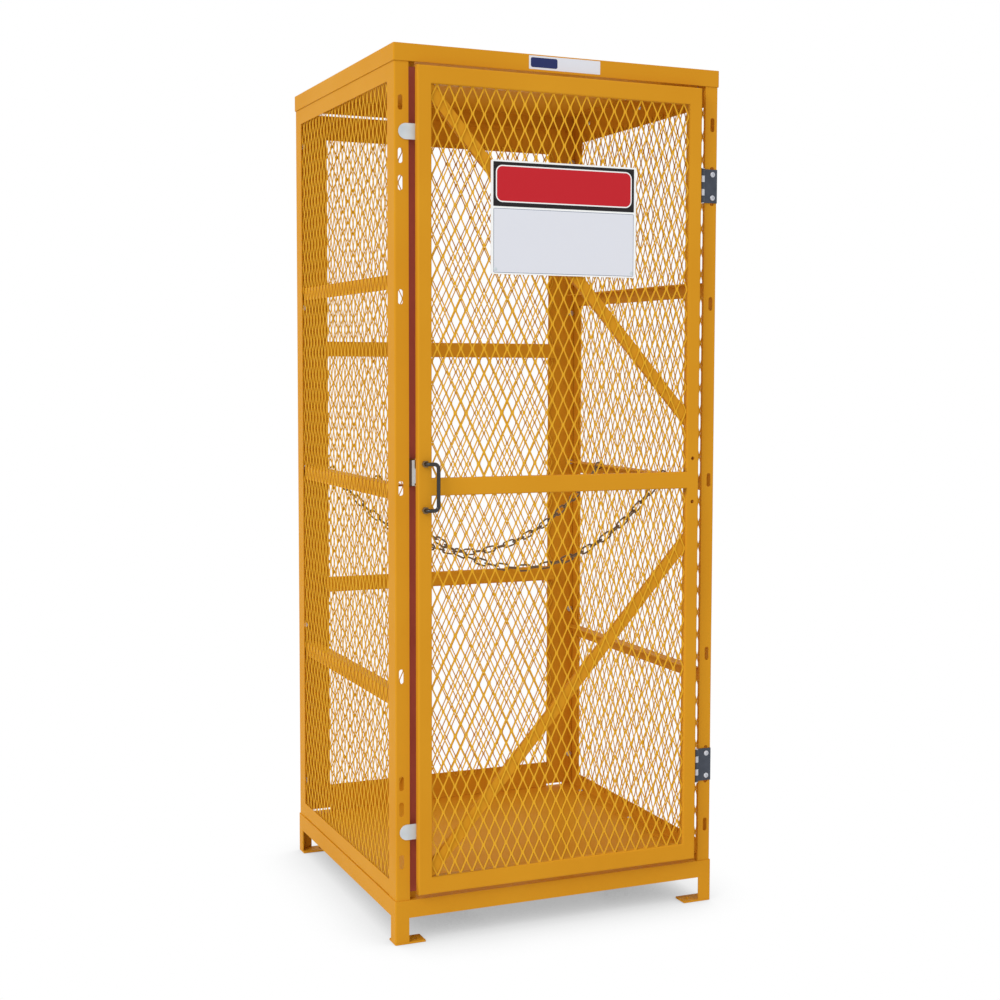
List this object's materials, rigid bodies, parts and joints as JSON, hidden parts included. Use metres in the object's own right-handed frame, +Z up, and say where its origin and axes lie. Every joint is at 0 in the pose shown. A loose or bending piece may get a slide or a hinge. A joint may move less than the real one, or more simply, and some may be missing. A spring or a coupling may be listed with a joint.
{
  "type": "gas cylinder cage",
  "caption": "Upright mesh cage for gas cylinders: folded base on feet, mesh walls, flat roof, braced mesh door on side hinges and slack retaining chains.",
  "frame": {"origin": "on the ground at the centre of the square of bolt-down holes, under the middle of the base", "axes": "+X to the hinge side of the door, +Y to the back, +Z up"},
  "size_m": [0.74, 0.7845, 1.83],
  "materials": {
    "yellow_powder_coat": "satin powder coat",
    "yellow_mesh": "satin powder coat",
    "bright_zinc": "bright zinc plate",
    "dark_zinc": "dull dark zinc plate",
    "sign_board": "rigid printed board"
  },
  "bodies": {
    "cage": {"base_tray": "yellow_powder_coat", "leg_front_left": "yellow_powder_coat", "leg_front_right": "yellow_powder_coat", "leg_rear_left": "yellow_powder_coat", "leg_rear_right": "yellow_powder_coat", "foot_plates": "yellow_powder_coat", "roof_panel": "yellow_powder_coat", "left_front_post": "yellow_powder_coat", "left_rear_post": "yellow_powder_coat", "left_top_rail": "yellow_powder_coat", "left_bottom_rail": "yellow_powder_coat", "left_crossbar_upper": "yellow_powder_coat", "left_crossbar_middle": "yellow_powder_coat", "left_crossbar_lower": "yellow_powder_coat", "left_mesh": "yellow_mesh", "right_front_post": "yellow_powder_coat", "right_rear_post": "yellow_powder_coat", "right_top_rail": "yellow_powder_coat", "right_bottom_rail": "yellow_powder_coat", "right_crossbar_upper": "yellow_powder_coat", "right_crossbar_middle": "yellow_powder_coat", "right_crossbar_lower": "yellow_powder_coat", "right_mesh": "yellow_mesh", "back_stile_left": "yellow_powder_coat", "back_stile_right": "yellow_powder_coat", "back_top_rail": "yellow_powder_coat", "back_bottom_rail": "yellow_powder_coat", "back_crossbar_upper": "yellow_powder_coat", "back_crossbar_lower": "yellow_powder_coat", "back_mesh": "yellow_mesh", "upper_post_leaf": "dark_zinc", "lower_post_leaf": "dark_zinc", "hinge_pins": "bright_zinc", "hinge_screws": "bright_zinc", "hinge_nuts": "bright_zinc", "catch_case": "bright_zinc", "catch_screws": "bright_zinc", "chain_eyes": "dark_zinc", "frame_bolts": "bright_zinc", "frame_nuts": "bright_zinc", "rim_screws": "bright_zinc"},
    "door": {"door_stile_latch": "yellow_powder_coat", "door_stile_hinge": "yellow_powder_coat", "door_top_rail": "yellow_powder_coat", "door_mid_rail": "yellow_powder_coat", "door_bottom_rail": "yellow_powder_coat", "door_brace_upper": "yellow_powder_coat", "door_brace_lower": "yellow_powder_coat", "door_mesh_upper": "yellow_mesh", "door_mesh_lower": "yellow_mesh", "pull_handle": "dark_zinc", "handle_nuts": "bright_zinc", "door_stops": "bright_zinc", "sign_plate": "sign_board", "sign_rivets": "bright_zinc", "upper_door_leaf": "bright_zinc", "lower_door_leaf": "bright_zinc", "strike_plate": "bright_zinc"},
    "front_chain": {"front_chain": "dark_zinc"},
    "rear_chain": {"rear_chain": "dark_zinc"}
  },
  "joints": [
    {"name": "door_hinge", "type": "hinge", "parent": "cage", "child": "door", "pos_m": [0.3285, -0.3735, 0.946], "axis": [0, 0, 1], "range_deg": [0, 115]},
    {"name": "front_chain_swing", "type": "hinge", "parent": "cage", "child": "front_chain", "pos_m": [0, -0.17, 0.94018], "axis": [0.9959, -0.0903, 0], "range_deg": [-25, 25]},
    {"name": "rear_chain_swing", "type": "hinge", "parent": "cage", "child": "rear_chain", "pos_m": [0, 0.17, 0.94018], "axis": [0.9959, -0.0903, 0], "range_deg": [-25, 25]}
  ]
}
